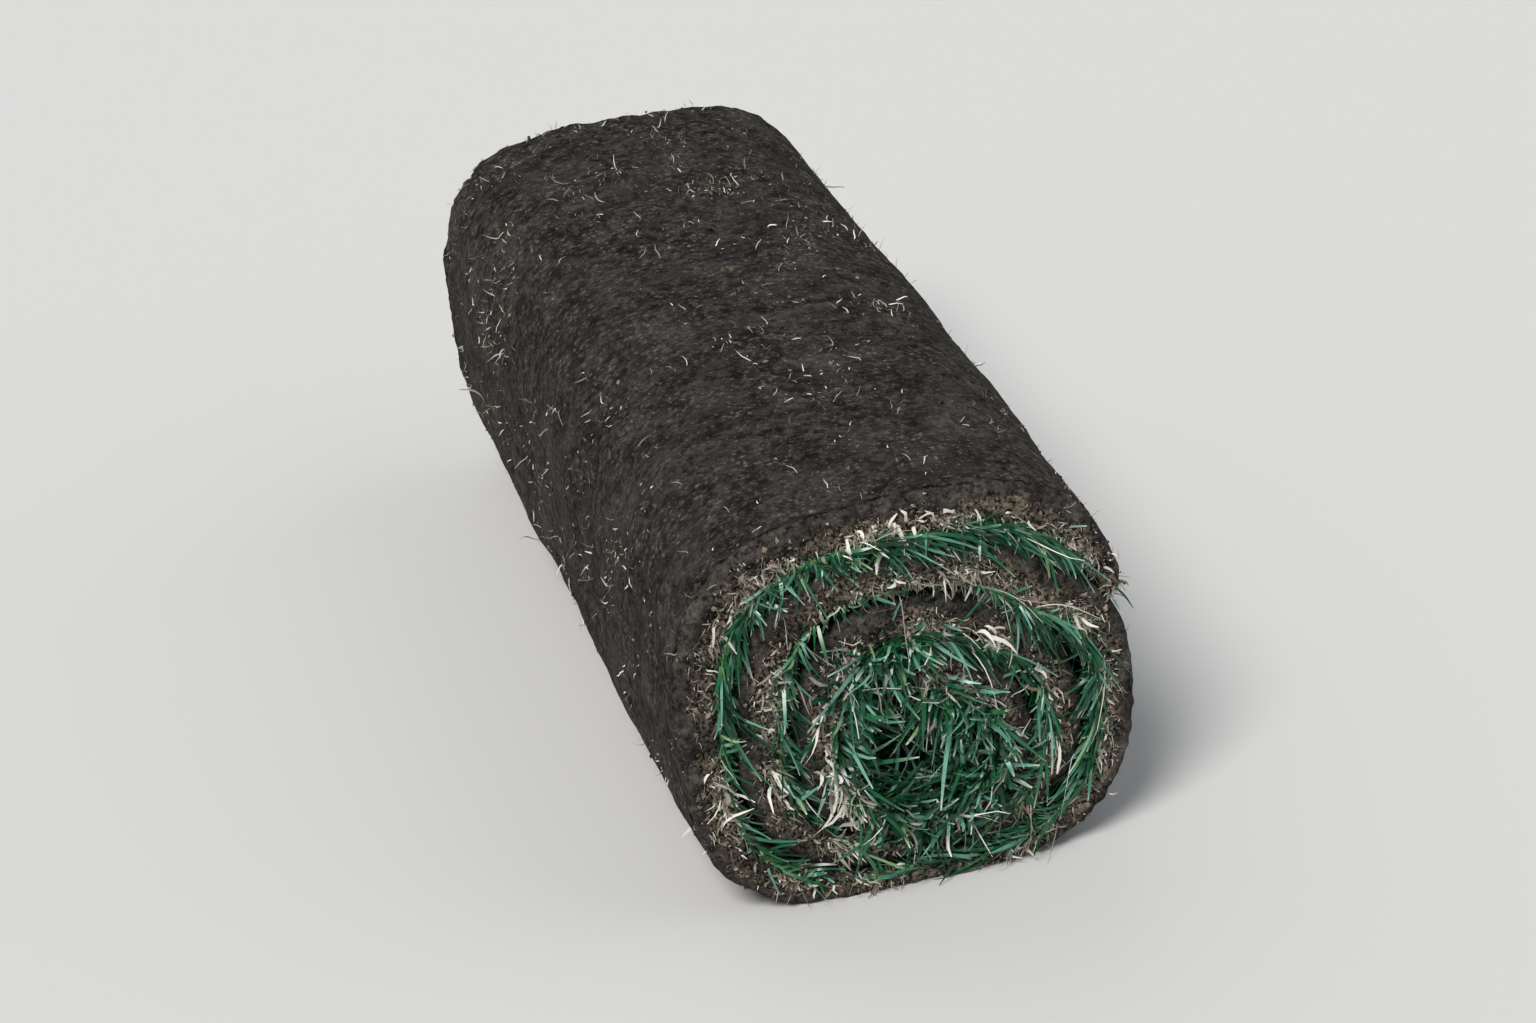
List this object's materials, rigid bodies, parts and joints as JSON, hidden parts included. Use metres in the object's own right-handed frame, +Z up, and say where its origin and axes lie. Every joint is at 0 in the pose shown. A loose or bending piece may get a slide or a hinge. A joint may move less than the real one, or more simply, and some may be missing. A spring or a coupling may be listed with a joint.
{
  "type": "roll of turf",
  "caption": "Wound strip of lawn turf lying on its side: soil outwards, grass pressed between the squashed spiral turns, loose grassy core.",
  "frame": {"origin": "on the floor, under the middle of the roll", "axes": "+Z up, +Y along the roll away from the end that shows in front, +X across the roll to the side of the outer end"},
  "size_m": [0.2341, 0.61, 0.2113],
  "materials": {
    "soil": "matt crumbly soil bound by fine roots",
    "thatch": "matt dry stems and roots",
    "grass": "soft low sheen leaf blades"
  },
  "bodies": {
    "root": {"turf_roll": "soil"}
  },
  "joints": []
}
